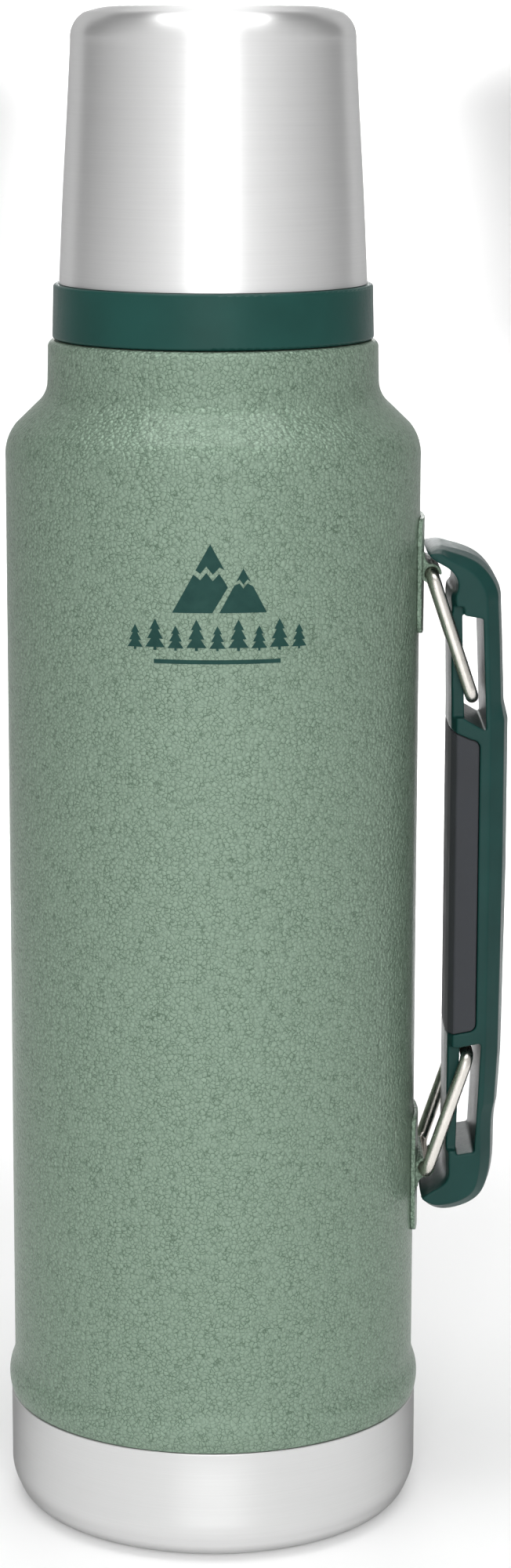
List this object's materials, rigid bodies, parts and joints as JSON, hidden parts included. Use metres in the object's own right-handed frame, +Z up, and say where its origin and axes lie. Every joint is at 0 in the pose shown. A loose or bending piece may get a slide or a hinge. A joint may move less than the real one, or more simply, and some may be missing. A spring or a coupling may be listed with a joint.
{
  "type": "vacuum flask",
  "caption": "Tall double-wall vacuum flask with a screw stopper, a cup that covers the mouth, and a side handle that pulls out on folding wire bails.",
  "frame": {"origin": "on the flask's axis, in the plane it stands on", "axes": "+Z up along the flask, +X from the axis out through the carrying handle"},
  "size_m": [0.124, 0.1036, 0.372],
  "materials": {
    "hammered_paint": "hammered sage-green enamel with fine darker veins",
    "bracket_paint": "the same green enamel on thin plate",
    "brushed_steel": "stainless steel brushed round its axis",
    "bare_steel": "plain drawn stainless steel",
    "vessel_steel": "satin stainless steel",
    "wire_steel": "satin stainless wire",
    "sealing_metal": "dull sealing metal",
    "getter_metal": "dull pressed capsule",
    "handle_plastic": "satin dark green moulding",
    "liner_plastic": "satin dark green moulding",
    "stopper_plastic": "fine-grained dark green moulding",
    "grip_rubber": "matt dark grey soft rubber",
    "white_foam": "closed-cell foam",
    "silicone": "pale grey silicone"
  },
  "bodies": {
    "flask": {"outer_shell": "hammered_paint", "threaded_neck": "bare_steel", "inner_vessel": "vessel_steel", "vacuum_bottom_plate": "bare_steel", "vacuum_seal_plug": "sealing_metal", "getter_capsule": "getter_metal", "vessel_support_spring": "bare_steel", "base_cap": "brushed_steel", "upper_bracket": "bracket_paint", "lower_bracket": "bracket_paint"},
    "handle": {"handle_frame": "handle_plastic", "handle_grip": "grip_rubber"},
    "upper_wire": {"upper_bail": "wire_steel"},
    "lower_wire": {"lower_bail": "wire_steel"},
    "cup": {"cup_shell": "brushed_steel", "cup_liner": "liner_plastic"},
    "stopper": {"stopper_body": "stopper_plastic", "stopper_cap": "stopper_plastic", "stopper_insulation": "white_foam", "stopper_gasket": "silicone"}
  },
  "joints": [
    {"name": "handle_pull", "type": "slide", "parent": "flask", "child": "handle", "axis": [1, 0, 0], "range_m": [0, 0.015]},
    {"name": "upper_bail_swing", "type": "hinge", "parent": "flask", "child": "upper_wire", "pos_m": [0.0529, 0, 0.2374], "axis": [0, -1, 0], "range_deg": [0, 34.19]},
    {"name": "lower_bail_swing", "type": "hinge", "parent": "flask", "child": "lower_wire", "pos_m": [0.0529, 0, 0.0876], "axis": [0, 1, 0], "range_deg": [0, 34.19]},
    {"name": "cup_lift", "type": "slide", "parent": "flask", "child": "cup", "axis": [0, 0, 1], "range_m": [0, 0.085]},
    {"name": "stopper_lift", "type": "slide", "parent": "flask", "child": "stopper", "axis": [0, 0, 1], "range_m": [0, 0.037]}
  ],
  "couplings": [
    {"joint": "upper_bail_swing", "follows": "handle_pull", "rad_per_m": 39.72},
    {"joint": "lower_bail_swing", "follows": "handle_pull", "rad_per_m": 39.72}
  ]
}
